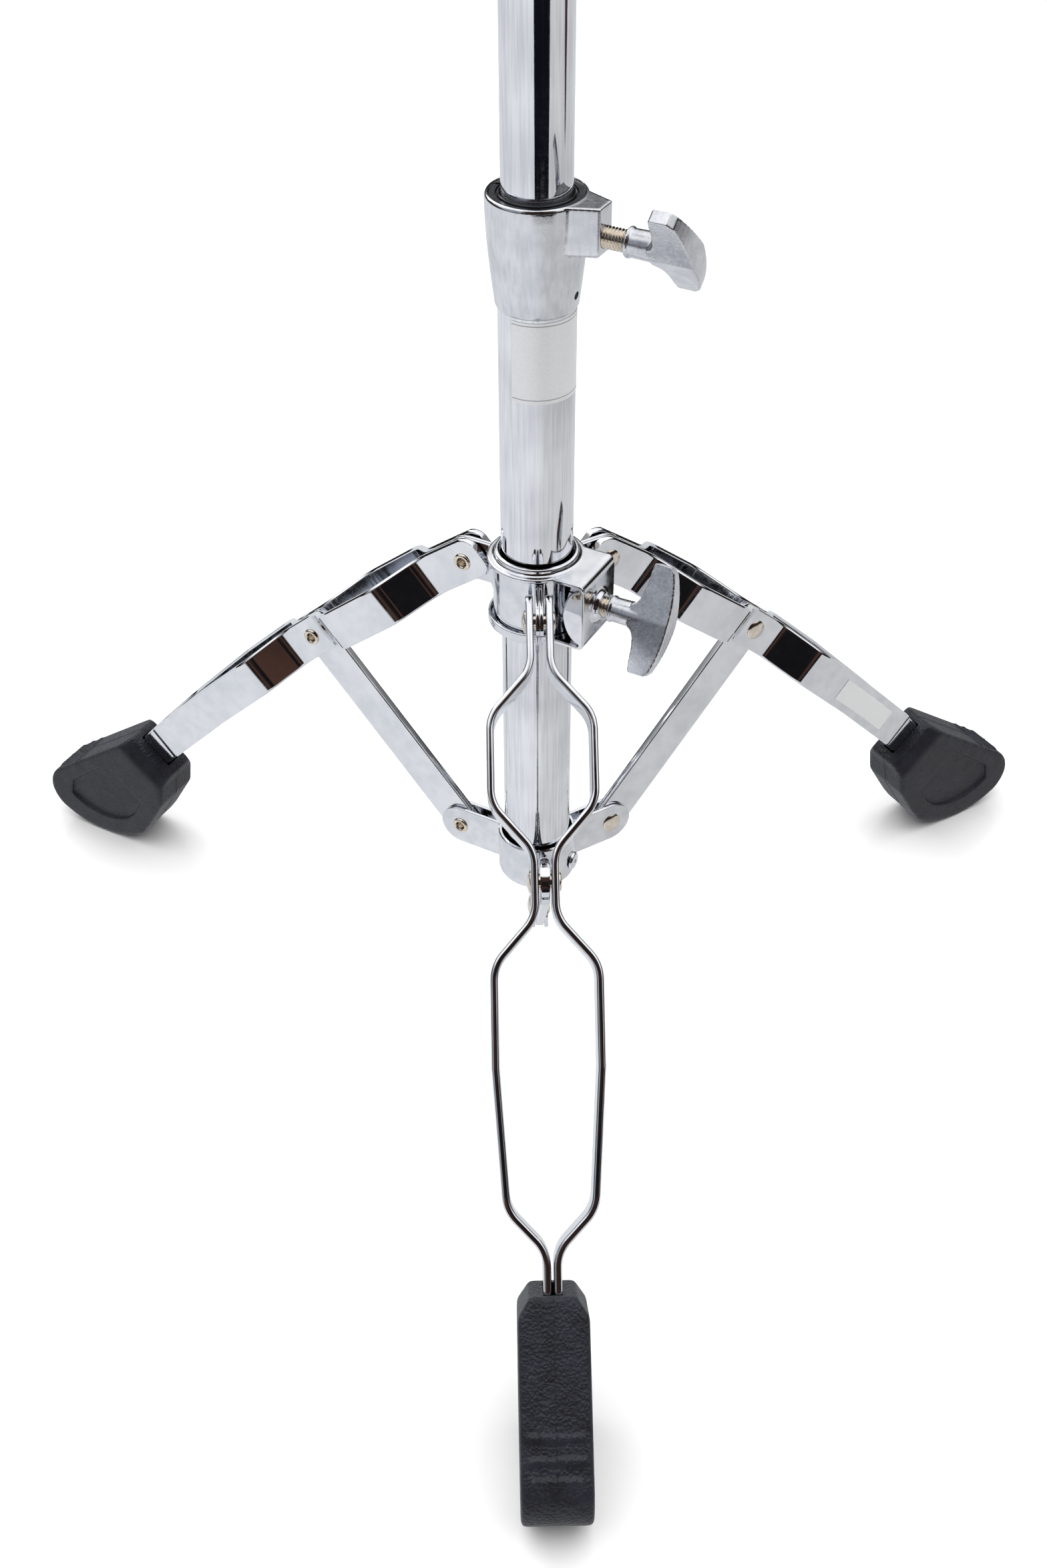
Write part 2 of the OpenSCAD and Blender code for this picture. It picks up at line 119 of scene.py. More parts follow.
def slab(points, low, high, plane="xz"):  # a flat outline given a thickness
    bm = outline(points, True, plane)
    face = bmesh.ops.contextual_create(bm, geom=bm.edges[:])["faces"]
    along = Vector((0, 1, 0)) if plane == "xz" else Vector((0, 0, 1))
    bmesh.ops.translate(bm, verts=bm.verts[:], vec=along * low)
    made = bmesh.ops.extrude_face_region(bm, geom=face)["geom"]
    bmesh.ops.translate(bm, verts=[g for g in made if isinstance(g, bmesh.types.BMVert)],
                        vec=along * (high - low))
    bmesh.ops.recalc_face_normals(bm, faces=bm.faces[:])
    return bm


def rod(radius, low, high, steps=64):  # a plain bar along z, for cutting and joining
    return spun([(0, low), (radius, low), (radius, high), (0, high)], False, steps)


def placed(bm, matrix):
    bmesh.ops.transform(bm, matrix=matrix, verts=bm.verts[:])
    return bm


def added(bm, *others):  # joins other meshes into bm and frees them
    for other in others:
        mesh = bpy.data.meshes.new("join")
        other.to_mesh(mesh)
        other.free()
        bm.from_mesh(mesh)
        bpy.data.meshes.remove(mesh)
    return bm


def asObject(bm, name):
    mesh = bpy.data.meshes.new(name)
    bm.to_mesh(mesh)
    bm.free()
    obj = bpy.data.objects.new(name, mesh)
    bpy.context.scene.collection.objects.link(obj)
    return obj


def evaluated(obj):  # the mesh with its modifiers applied, as a bmesh; the object goes
    graph = bpy.context.evaluated_depsgraph_get()
    mesh = bpy.data.meshes.new_from_object(obj.evaluated_get(graph))
    bm = bmesh.new()
    bm.from_mesh(mesh)
    bpy.data.meshes.remove(mesh)
    bpy.data.meshes.remove(obj.data)
    return bm


def cut(bm, tool, operation="DIFFERENCE"):
    obj, other = asObject(bm, "work"), asObject(tool, "tool")
    step = obj.modifiers.new("cut", "BOOLEAN")
    step.operation = operation
    step.solver = "EXACT"
    step.object = other
    done = evaluated(obj)
    bpy.data.meshes.remove(other.data)
    return done


def melted(bm, voxel, rounds):  # overlapping solids become one skin with soft cast edges
    obj = asObject(bm, "work")
    step = obj.modifiers.new("melt", "REMESH")
    step.mode = "VOXEL"
    step.voxel_size = voxel
    done = evaluated(obj)
    for _ in range(rounds):
        bmesh.ops.smooth_vert(done, verts=done.verts[:], factor=0.5,
                              use_axis_x=True, use_axis_y=True, use_axis_z=True)
    return done


def piece(name, bm, place, look, body, replaced, sharp=35):
    # takes a mesh in millimetres to its place in metres and ties it to its body
    bmesh.ops.remove_doubles(bm, verts=bm.verts[:], dist=0.0005)
    bmesh.ops.transform(bm, matrix=Matrix.Scale(mm, 4) @ place, verts=bm.verts[:])
    bmesh.ops.recalc_face_normals(bm, faces=bm.faces[:])
    obj = asObject(bm, name)
    for material in look if isinstance(look, list) else [look]:
        obj.data.materials.append(material)
    obj.data.shade_smooth()
    obj.data.set_sharp_from_angle(angle=math.radians(sharp))
    if sharp < 50:  # long flat faces rule the shading of the narrow rounds beside them
        even = obj.modifiers.new("evenShading", "WEIGHTED_NORMAL")
        even.keep_sharp = True
    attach(obj, body)
    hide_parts(*replaced)
    return obj


def barRing(bm, thick, width, edge, start, heading):
    # the rounded end face of a strip that stands on edge
    made = bmesh.ops.create_grid(bm, x_segments=1, y_segments=1, size=0.5)
    bmesh.ops.scale(bm, vec=(thick, width, 1), verts=made["verts"])
    bmesh.ops.bevel(bm, geom=made["verts"], offset=edge, affect="VERTICES", segments=4,
                    profile=0.5, material=-1)
    side = Vector((-heading.y, heading.x, 0))
    stand = Matrix((side, (0, 0, 1), heading)).transposed().to_4x4()
    bmesh.ops.transform(bm, matrix=Matrix.Translation(start) @ stand, verts=bm.verts[:])
    return bm.faces[:][0].edges[:]


def strip(thick, width, edge, start, heading, moves):
    # carries the end face along straight runs and round bends: ("go", length, steps)
    # or ("turn", radius, degrees to the left, steps)
    bm = bmesh.new()
    at = Vector(start)
    heading = Vector(heading).normalized()
    ring = barRing(bm, thick, width, edge, at, heading)
    for kind, size, *rest in moves:
        if kind == "go":
            for _ in range(rest[0]):
                made = bmesh.ops.extrude_edge_only(bm, edges=ring)["geom"]
                ring = [g for g in made if isinstance(g, bmesh.types.BMEdge)]
                bmesh.ops.translate(bm, vec=heading * size / rest[0],
                                    verts=[g for g in made if isinstance(g, bmesh.types.BMVert)])
            at = at + heading * size
        else:
            degrees, steps = rest
            toLeft = 1 if degrees > 0 else -1
            centre = at + Vector((-heading.y, heading.x, 0)) * size * toLeft
            last = bmesh.ops.spin(bm, geom=ring, cent=centre, axis=(0, 0, toLeft),
                                  angle=math.radians(abs(degrees)), steps=steps,
                                  use_duplicate=False)["geom_last"]
            ring = [g for g in last if isinstance(g, bmesh.types.BMEdge)]
            swing = Matrix.Rotation(math.radians(degrees), 3, "Z")
            at = centre + swing @ (at - centre)
            heading = swing @ heading
    bmesh.ops.edgeloop_fill(bm, edges=ring)
    bmesh.ops.recalc_face_normals(bm, faces=bm.faces[:])
    return bm


def movesAlong(points, radius, steps=8):  # the runs and bends of a strip through a few points
    moves, used = [], 0
    for before, here, after in zip(points, points[1:], points[2:]):
        a, b = Vector(here) - Vector(before), Vector(after) - Vector(here)
        degrees = math.degrees(a.angle_signed(b)) * -1
        cutBack = radius * math.tan(math.radians(abs(degrees)) / 2)
        moves.append(("go", a.length - used - cutBack, 1))
        moves.append(("turn", radius, degrees, max(2, round(steps * abs(degrees) / 45))))
        used = cutBack
    moves.append(("go", (Vector(points[-1]) - Vector(points[-2])).length - used, 4))
    return moves


def roundEnd(radius, steps=8):  # shortening runs, as a quarter circle asks, for a strip's round end
    quarter = [math.cos(math.radians(90 / steps * i)) for i in range(steps + 1)]
    return [("go", radius * (a - b), 1) for a, b in zip(quarter, quarter[1:])]


# holes shared by several pieces, in mm: threaded, for a rivet, and loose for the folding linkage
screwHole = 4.06
rivetHole = 3.05
looseHole = 4.8
collarScrewZ = 226


# materials

def srgb(code):  # "#rrggbb" to linear, with alpha
    channels = [int(code[i:i + 2], 16) / 255 for i in (1, 3, 5)]
    return tuple(c / 12.92 if c <= 0.04045 else ((c + 0.055) / 1.055) ** 2.4 for c in channels) + (1,)


def node(tree, kind, settings=None, links=None):  # adds a node, sets its values and links its inputs
    made = tree.nodes.new(kind)
    for key, value in (settings or {}).items():
        if isinstance(key, str) and hasattr(made, key):
            setattr(made, key, value)
        else:
            made.inputs[key].default_value = value
    for key, source in (links or {}).items():
        tree.links.new(source, made.inputs[key])
    return made


def newLook(name, settings):
    material = bpy.data.materials.new(name)
    material.use_nodes = True
    tree = material.node_tree
    tree.nodes.clear()
    shader = node(tree, "ShaderNodeBsdfPrincipled", settings)
    node(tree, "ShaderNodeOutputMaterial", None, {"Surface": shader.outputs[0]})
    place = node(tree, "ShaderNodeTexCoord").outputs["Object"]
    return material, tree, shader, place


def spread(low, high, start, end):  # Map Range values: what lies between low and high runs start to end
    return {"From Min": low, "From Max": high, "To Min": start, "To Max": end}


def chromeLook(name, finish):
    material, tree, shader, place = newLook(name, {"Metallic": 1})
    lengthwise = node(tree, "ShaderNodeMapping", {"Scale": finish["stretch"]}, {"Vector": place})
    lines = node(tree, "ShaderNodeTexNoise", {"Scale": 1 / (finish["lineGap"] * mm), "Detail": 4},
                 {"Vector": lengthwise.outputs[0]})
    waves = node(tree, "ShaderNodeTexNoise", {"Scale": 1 / (finish["waveGap"] * mm), "Detail": 2},
                 {"Vector": place})
    pits = node(tree, "ShaderNodeTexNoise", {"Scale": 1 / (finish["grainGap"] * mm), "Detail": 5,
                                             "Roughness": 0.65}, {"Vector": place})
    shade = node(tree, "ShaderNodeMath", {"operation": "ADD"}, {0: waves.outputs[0], 1: lines.outputs[0]})
    mix = node(tree, "ShaderNodeMapRange", spread(0.75, 1.2, 0, 1), {"Value": shade.outputs[0]})
    tint = node(tree, "ShaderNodeMix", {"data_type": "RGBA", 6: srgb(finish["deep"]),
                                        7: srgb(finish["colour"])},
                {0: mix.outputs[0]})
    tree.links.new(tint.outputs[2], shader.inputs["Base Color"])
    along = node(tree, "ShaderNodeMapRange", spread(0.35, 0.7, 0.7, 1.5), {"Value": lines.outputs[0]})
    grain = node(tree, "ShaderNodeMapRange", spread(0.35, 0.75, finish["gloss"], finish["dull"]),
                 {"Value": pits.outputs[0]})
    polish = node(tree, "ShaderNodeMath", {"operation": "MULTIPLY"},
                  {0: along.outputs[0], 1: grain.outputs[0]})
    tree.links.new(polish.outputs[0], shader.inputs["Roughness"])
    first = node(tree, "ShaderNodeBump", {"Strength": finish["lineDepth"], "Distance": 0.02 * mm},
                 {"Height": lines.outputs[0]})
    second = node(tree, "ShaderNodeBump", {"Strength": finish["grainDepth"], "Distance": 0.05 * mm},
                  {"Height": pits.outputs[0], "Normal": first.outputs[0]})
    tree.links.new(second.outputs[0], shader.inputs["Normal"])
    return material


# Chrome plate on drawn steel tube: a mirror with faint lengthwise polishing lines. The real
# lines are about 0.2 mm apart, too fine to show, so they are drawn 0.9 mm apart.
tubeChrome = chromeLook("chromePlatedTube", {
    "colour": "#f0f2f6", "deep": "#d3d5da", "stretch": (1, 1, 0.03), "lineGap": 0.9, "waveGap": 30,
    "grainGap": 2.2, "gloss": 0.045, "dull": 0.09, "lineDepth": 0.25, "grainDepth": 0.03})
# Chrome plate on rolled steel strip: cooler, with a slight waviness from the rolls.
stripChrome = chromeLook("chromePlatedStrip", {
    "colour": "#eaecf0", "deep": "#dcdee4", "stretch": (1, 1, 1), "lineGap": 6, "waveGap": 18,
    "grainGap": 1.6, "gloss": 0.05, "dull": 0.1, "lineDepth": 0.25, "grainDepth": 0.05})
# Chrome plate on pressed sheet: pulled a little uneven by the press, so highlights ripple.
pressedChrome = chromeLook("chromePlatedPressing", {
    "colour": "#e9ebef", "deep": "#d6d8de", "stretch": (1, 1, 1), "lineGap": 5, "waveGap": 12,
    "grainGap": 1.2, "gloss": 0.06, "dull": 0.13, "lineDepth": 0.15, "grainDepth": 0.04})
# Chrome plate on zinc die casting: bright but grainy, the cast skin shows through.
castChrome = chromeLook("chromePlatedCasting", {
    "colour": "#e6e8ec", "deep": "#d0d2d8", "stretch": (1, 1, 0.2), "lineGap": 1.4, "waveGap": 9,
    "grainGap": 0.55, "gloss": 0.1, "dull": 0.2, "lineDepth": 0.4, "grainDepth": 0.35})
# Nickel plate on turned steel: warmer and duller than chrome, with fine turning marks.
warmNickel = chromeLook("nickelPlatedSteel", {
    "colour": "#efe6da", "deep": "#d9cdbd", "stretch": (1, 1, 1), "lineGap": 0.8, "waveGap": 3,
    "grainGap": 0.5, "gloss": 0.1, "dull": 0.22, "lineDepth": 0.3, "grainDepth": 0.25})
# Chrome plate over a rough sand-textured casting: sparkles from many small dents.
wingChrome = chromeLook("chromePlatedRoughCasting", {
    "colour": "#e2e4e8", "deep": "#c6c8ce", "stretch": (1, 1, 1), "lineGap": 1.1, "waveGap": 7,
    "grainGap": 0.45, "gloss": 0.12, "dull": 0.26, "lineDepth": 0.9, "grainDepth": 0.9})
# Blackened steel pin, seen only as a dark dot in its hole.
darkSteel = chromeLook("blackenedSteel", {
    "colour": "#2a2a2c", "deep": "#18181a", "stretch": (1, 1, 1), "lineGap": 0.8, "waveGap": 2,
    "grainGap": 0.4, "gloss": 0.35, "dull": 0.55, "lineDepth": 0.3, "grainDepth": 0.4})


def rubberLook(name, grain):  # moulded rubber; grain is the depth of the leather pattern
    material, tree, shader, place = newLook(name, {"IOR": 1.52, "Specular IOR Level": 0.4})
    cells = node(tree, "ShaderNodeTexVoronoi", {"Scale": 1 / (1.15 * mm), "feature": "SMOOTH_F1",
                                                "Smoothness": 0.6, "Randomness": 1})
    warp = node(tree, "ShaderNodeTexNoise", {"Scale": 1 / (2.6 * mm), "Detail": 3}, {"Vector": place})
    bent = node(tree, "ShaderNodeVectorMath", {"operation": "MULTIPLY_ADD", 1: (0.0022, 0.0022, 0.0022)},
                {0: warp.outputs["Color"], 2: place})
    tree.links.new(bent.outputs[0], cells.inputs["Vector"])
    dust = node(tree, "ShaderNodeTexNoise", {"Scale": 1 / (7 * mm), "Detail": 6}, {"Vector": place})
    skin = node(tree, "ShaderNodeTexNoise", {"Scale": 1 / (0.35 * mm), "Detail": 3}, {"Vector": place})
    mix = node(tree, "ShaderNodeMapRange", spread(0.3, 0.7, 0, 1), {"Value": dust.outputs[0]})
    tint = node(tree, "ShaderNodeMix", {"data_type": "RGBA", 6: srgb("#15161d"), 7: srgb("#242530")},
                {0: mix.outputs[0]})
    tree.links.new(tint.outputs[2], shader.inputs["Base Color"])
    worn = node(tree, "ShaderNodeMapRange", spread(0.1, 0.7, 0.36, 0.52), {"Value": cells.outputs[0]})
    tree.links.new(worn.outputs[0], shader.inputs["Roughness"])
    first = node(tree, "ShaderNodeBump", {"Strength": grain, "Distance": 0.5 * mm, "invert": True},
                 {"Height": cells.outputs[0]})
    second = node(tree, "ShaderNodeBump", {"Strength": 0.25, "Distance": 0.04 * mm},
                  {"Height": skin.outputs[0], "Normal": first.outputs[0]})
    tree.links.new(second.outputs[0], shader.inputs["Normal"])
    return material


# Black moulded rubber with a leather grain on the outer face, and the same rubber smooth.
grainRubber = rubberLook("grainedRubber", 0.9)
smoothRubber = rubberLook("smoothRubber", 0.12)


def nylonLook():
    # Black moulded nylon: satin, with faint flow marks.
    material, tree, shader, place = newLook("mouldedNylon", {"IOR": 1.53, "Specular IOR Level": 0.5})
    flow = node(tree, "ShaderNodeTexNoise", {"Scale": 1 / (3 * mm), "Detail": 4}, {"Vector": place})
    mix = node(tree, "ShaderNodeMapRange", spread(0.3, 0.7, 0, 1), {"Value": flow.outputs[0]})
    tint = node(tree, "ShaderNodeMix", {"data_type": "RGBA", 6: srgb("#141519"), 7: srgb("#24262c")},
                {0: mix.outputs[0]})
    tree.links.new(tint.outputs[2], shader.inputs["Base Color"])
    satin = node(tree, "ShaderNodeMapRange", spread(0.3, 0.7, 0.22, 0.36), {"Value": flow.outputs[0]})
    tree.links.new(satin.outputs[0], shader.inputs["Roughness"])
    bump = node(tree, "ShaderNodeBump", {"Strength": 0.2, "Distance": 0.05 * mm},
                {"Height": flow.outputs[0]})
    tree.links.new(bump.outputs[0], shader.inputs["Normal"])
    return material


def filmLook(name, colour, edgeLow, edgeHigh):
    # Printed polyester film: silvery white under a clear gloss, with a thin printed line
    # near its lower and upper edge.
    material, tree, shader, place = newLook(name, {"Metallic": 0.3, "Coat Weight": 0.4,
                                                   "Coat Roughness": 0.08})
    height = node(tree, "ShaderNodeSeparateXYZ", None, {"Vector": place}).outputs[2]
    near = []
    for z in (edgeLow, edgeHigh):
        off = node(tree, "ShaderNodeMath", {"operation": "SUBTRACT", 1: z}, {0: height})
        size = node(tree, "ShaderNodeMath", {"operation": "ABSOLUTE"}, {0: off.outputs[0]})
        near.append(node(tree, "ShaderNodeMapRange", spread(0.12 * mm, 0.2 * mm, 1, 0),
                         {"Value": size.outputs[0]}).outputs[0])
    line = node(tree, "ShaderNodeMath", {"operation": "MAXIMUM"}, {0: near[0], 1: near[1]})
    fibre = node(tree, "ShaderNodeTexNoise", {"Scale": 1 / (0.8 * mm), "Detail": 4}, {"Vector": place})
    mix = node(tree, "ShaderNodeMapRange", spread(0.35, 0.65, 0, 1), {"Value": fibre.outputs[0]})
    paper = node(tree, "ShaderNodeMix", {"data_type": "RGBA", 6: srgb(colour), 7: srgb("#eff0f1")},
                 {0: mix.outputs[0]})
    inked = node(tree, "ShaderNodeMix", {"data_type": "RGBA", 7: srgb("#8d9096")},
                 {0: line.outputs[0], 6: paper.outputs[2]})
    tree.links.new(inked.outputs[2], shader.inputs["Base Color"])
    sheen = node(tree, "ShaderNodeMapRange", spread(0.3, 0.7, 0.3, 0.4), {"Value": fibre.outputs[0]})
    tree.links.new(sheen.outputs[0], shader.inputs["Roughness"])
    return material


nylon = nylonLook()
print("materials made")


# tubes

tubeShape = {"baseRadius": 14.3, "upperRadius": 12.7, "wall": 1.2, "deburr": 0.3}


def tubeProfile(nodeName, radius):  # the wall's section, with deburred ends
    low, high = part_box(nodeName)
    z0, z1 = low.z / mm, high.z / mm
    inner, r = radius - tubeShape["wall"], tubeShape["deburr"]
    near = 2 * r  # rings near the ends keep the long walls' shading straight
    return (arcOf((radius - r, z0 + r), r, -90, 0, 3) + [(radius, z0 + near), (radius, z1 - near)]
            + arcOf((radius - r, z1 - r), r, 0, 90, 3) + arcOf((inner + r, z1 - r), r, 90, 180, 3)
            + [(inner, z1 - near), (inner, z0 + near)] + arcOf((inner + r, z0 + r), r, 180, 270, 3))


def makeTubes():
    base = spun(tubeProfile("base_tube", tubeShape["baseRadius"]), True, 128)
    piece("baseTube", base, standFrame(), tubeChrome, "base", ["base_tube"])
    upper = spun(tubeProfile("upper_tube", tubeShape["upperRadius"]), True, 128)
    piece("upperTube", upper, standFrame(), tubeChrome, "upper_tube", ["upper_tube"])


makeTubes()
print("tubes made")


# height clamp

castLow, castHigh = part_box("clamp_casting")
clampShape = {"top": castHigh.z / mm, "bottom": castLow.z / mm, "rim": 18.4, "mouth": 17.05,
              "shoulder": 369, "bossFace": 26.8, "bossHalf": 4.7, "bossHeight": 18.1,
              "screwZ": middle("clamp_screw").z / mm, "pinZ": middle("clamp_pin").z / mm}


def makeCasting():
    s = clampShape
    under = s["top"] - s["bossHeight"]
    side = [(s["rim"] - 3 * (i / 10) ** 1.7, s["top"] - 1 - 38 * i / 10) for i in range(11)]
    body = spun([(0, s["top"]), (s["rim"] - 0.7, s["top"])] + side
                + arcOf((s["rim"] - 5.6, s["bottom"] + 2.6), 2.6, 0, -80, 5)
                + [(0, s["bottom"])], False, 96)
    boss = slab([(s["bossFace"], -s["bossHalf"]), (s["bossFace"], s["bossHalf"]), (9, 11.6), (9, -11.6)],
                under, s["top"] - 0.1, "xy")
    # the lower side edges run out into the barrel with a generous radius
    low = [e for e in boss.edges if all(v.co.z < under + 0.1 for v in e.verts)
           and max(v.co.x for v in e.verts) > 20]
    bmesh.ops.bevel(boss, geom=low, offset=2.2, affect="EDGES", segments=4, profile=0.5, material=-1)
    placed(boss, turned(-30, "Z"))
    casting = melted(added(body, boss), 0.34, 7)
    bore = spun([(0, s["bottom"] - 2), (14.36, s["bottom"] - 2), (14.36, s["shoulder"] + 0.2),
                 (13.7, s["shoulder"] + 0.2), (13.7, s["shoulder"] + 1.2),
                 (s["mouth"], s["shoulder"] + 1.2), (s["mouth"], s["top"] - 0.35),
                 (s["mouth"] + 0.35, s["top"] + 0.05), (s["mouth"] + 0.35, s["top"] + 3),
                 (0, s["top"] + 3)], False, 96)
    casting = cut(casting, bore)
    hole = placed(rod(screwHole, 10, 40, 48), turned(-30, "Z") @ Matrix.Translation((0, 0, s["screwZ"]))
                  @ turned(90, "Y"))
    casting = cut(casting, hole)
    pin = placed(rod(1.55, 10, 30, 32), turned(-30, "Z") @ Matrix.Translation((0, 0, s["pinZ"]))
                 @ turned(90, "Y"))
    casting = cut(casting, pin)
    piece("clampCasting", casting, standFrame(), castChrome, "base",
          ["clamp_casting"], 50)


def makeBushing():
    # flanged nylon guide: flat outer ring, a raised collar round the tube, split at the back
    s = clampShape
    top, r = s["top"] - 0.6, s["mouth"] - 0.15
    low = s["shoulder"] + 1.4
    ring = spun([(12.78, low), (r, low), (r, top - 0.3), (r - 0.3, top), (r - 2.3, top),
                 (r - 2.6, top - 0.8), (r - 3.0, top - 0.8), (r - 3.1, top + 0.2),
                 (r - 3.4, top + 0.5), (13.3, top + 0.5), (12.9, top + 0.1)], True, 96)
    gap = slab([(0, -0.7), (30, -0.7), (30, 0.7), (0, 0.7)], low - 1, top + 2, "xy")
    ring = cut(ring, placed(gap, turned(150, "Z")))
    piece("clampBushing", ring, standFrame(), nylon, "base", ["clamp_bushing"])


makeCasting()
makeBushing()
print("height clamp made")


# clamp screws and wings

screwShape = {"crest": 4.0, "root": 3.36, "pitch": 1.25, "stepsPerTurn": 24}
wingShape = {"half": 22, "length": 26.3, "hub": 5, "flange": 5.5, "middle": 5, "tip": 2.4}


def makeScrew(name, tip, root, place, body, nodeName):
    s = screwShape
    p, steps = s["pitch"], s["stepsPerTurn"]
    turns = int((root - tip - 2.5) / p)
    start = tip + 1.8
    bm = outline([(s["root"], 0), (s["root"] + 0.1, p * 0.08), (s["crest"] - 0.06, p * 0.4),
                  (s["crest"], p * 0.47), (s["crest"], p * 0.58), (s["crest"] - 0.06, p * 0.65),
                  (s["root"] + 0.1, p * 0.95), (s["root"], p)], False)
    bmesh.ops.spin(bm, geom=bm.verts[:] + bm.edges[:], cent=(0, 0, 0), axis=(0, 0, 1),
                   dvec=(0, 0, p / steps), angle=math.tau * turns, steps=steps * turns,
                   use_duplicate=False)
    bmesh.ops.remove_doubles(bm, verts=bm.verts[:], dist=0.002)
    bmesh.ops.holes_fill(bm, edges=[e for e in bm.edges if e.is_boundary], sides=0)
    placed(bm, Matrix.Translation((0, 0, start)))
    core = spun([(0, tip), (2.8, tip), (3.38, tip + 0.8), (3.38, root - 0.3), (3.0, root), (0, root)],
                False, 48)
    added(bm, core)
    piece(name, bm, place @ turned(90, "Y"), warmNickel, body, [nodeName], 30)


def wingMesh():
    s = wingShape
    side, reach = s["half"], s["length"]
    upper = [(9.3, 4.6), (11.4, 5.8), (12.6, 8.2), (13.2, 12), (13.6, side - 0.8), (14.3, side), (20.8, side)]
    outer = arcOf((-32, 0), reach + 32, 20, -20, 16)
    lower = [(x, -z) for x, z in reversed(upper)]
    blade = slab(upper + outer + lower, -6, 6, "xz")
    bmesh.ops.bisect_plane(blade, geom=blade.verts[:] + blade.edges[:] + blade.faces[:],
                           plane_co=(0, 0, 0), plane_no=(0, 0, 1))
    for v in blade.verts:  # thick at the axis, thin at the tips
        half = s["middle"] + (s["tip"] - s["middle"]) * min(1, abs(v.co.z) / 20.5)
        v.co.y = math.copysign(half, v.co.y)
    hub = spun([(0, 0.9), (s["hub"] - 0.2, 0.9), (s["hub"], 1.2), (s["hub"] + 0.15, 9), (s["hub"], 14),
                (0, 14)], False, 64)
    collar = spun([(0, 0), (s["flange"] - 0.5, 0), (s["flange"], 0.35), (s["flange"], 1.2),
                   (s["flange"] - 0.5, 1.6), (0, 1.6)], False, 64)
    added(blade, placed(added(hub, collar), turned(90, "Y")))
    wing = melted(blade, 0.3, 4)
    return cut(wing, placed(rod(screwHole, -1, 9, 48), turned(90, "Y")))


def makeWing(name, at, tilt, z, body, nodeName):
    place = screwFrame(z) @ Matrix.Translation((at, 0, 0)) @ turned(tilt, "X")
    piece(name, wingMesh(), place, wingChrome, body, [nodeName], 50)


makeScrew("clampScrew", 17.3, 43.7, screwFrame(clampShape["screwZ"]), "height_screw", "clamp_screw")
makeWing("clampWing", 35.4, 39, clampShape["screwZ"], "height_screw", "clamp_wing")
makeScrew("collarScrew", 18.1, 41.5, screwFrame(collarScrewZ), "collar_screw", "collar_screw")
makeWing("collarWing", 33.2, -31, collarScrewZ, "collar_screw", "collar_wing")
print("screws and wings made")


# leg collar

shellShape = {"radius": 16.85, "thick": 1.4, "low": 213.2, "earRadius": 9, "fold": 2.2, "earOff": 0.75}


def earHeights(bm, centreR, z0, radius, low, high, start, end):
    # narrows a strip to an ear between two radii, and rounds the ear's end about its pivot
    for v in bm.verts:
        r = abs(v.co.x)
        t = min(1, max(0, (r - start) / (end - start)))
        t = t * t * (3 - 2 * t)
        bottom, top = low + (z0 - radius - low) * t, high + (z0 + radius - high) * t
        share = (v.co.z - low) / (high - low)
        if r > centreR:
            half = math.sqrt(max(0.3, radius ** 2 - (r - centreR) ** 2))
            bottom, top = z0 - half, z0 + half
        v.co.z = bottom + (top - bottom) * share


def shellHalf(hole):
    s = shellShape
    r, f, off = s["radius"], s["fold"], s["earOff"]
    top = topPivot[1] + s["earRadius"]
    swing = math.degrees(math.asin((off + f) / (r + f)))
    foldX = math.sqrt((r + f) ** 2 - (off + f) ** 2)
    moves = roundEnd(s["earRadius"])
    moves += [("go", topPivot[0] - foldX, 8), ("turn", f, swing - 90, 8), ("turn", r, 60 - swing, 20)]
    tip = (topPivot[0] + s["earRadius"] - 0.02, off, (top + s["low"]) / 2)
    bm = strip(s["thick"], top - s["low"], 0.5, tip, (-1, 0, 0), moves)
    earHeights(bm, topPivot[0], topPivot[1], s["earRadius"], s["low"], top, 17.4, 20.5)
    return cut(bm, placed(rod(hole, -5, 5, 48),
                          Matrix.Translation((topPivot[0], 0, topPivot[1])) @ turned(90, "X")))


def makeShells():
    for name, leg, holes in (("front_right", "front", (rivetHole, looseHole)),
                             ("back", "right", (looseHole, looseHole)),
                             ("front_left", "left", (looseHole, rivetHole))):
        near, far = shellHalf(holes[0]), shellHalf(holes[1])
        placed(far, turned(120, "Z") @ Matrix.Scale(-1, 4, (0, 1, 0)))
        bmesh.ops.reverse_faces(far, faces=far.faces[:])
        shell = added(near, far)
        bmesh.ops.remove_doubles(shell, verts=shell.verts[:], dist=0.01)
        # the two halves' end faces lie on each other inside the wall, so they go
        inner = [f for f in shell.faces
                 if len(f.verts) > 12 and all(len(e.link_faces) > 2 for e in f.edges)]
        bmesh.ops.delete(shell, geom=inner, context="FACES_ONLY")
        piece("collarShell_" + name, shell, legFrame(leg), pressedChrome, "leg_collar",
              ["collar_shell_" + name])


bracketShape = {"thick": 1.8, "plate": 19.8, "lipIn": 15.6, "lipOut": 16.9, "half": 13.5, "face": 27.8}


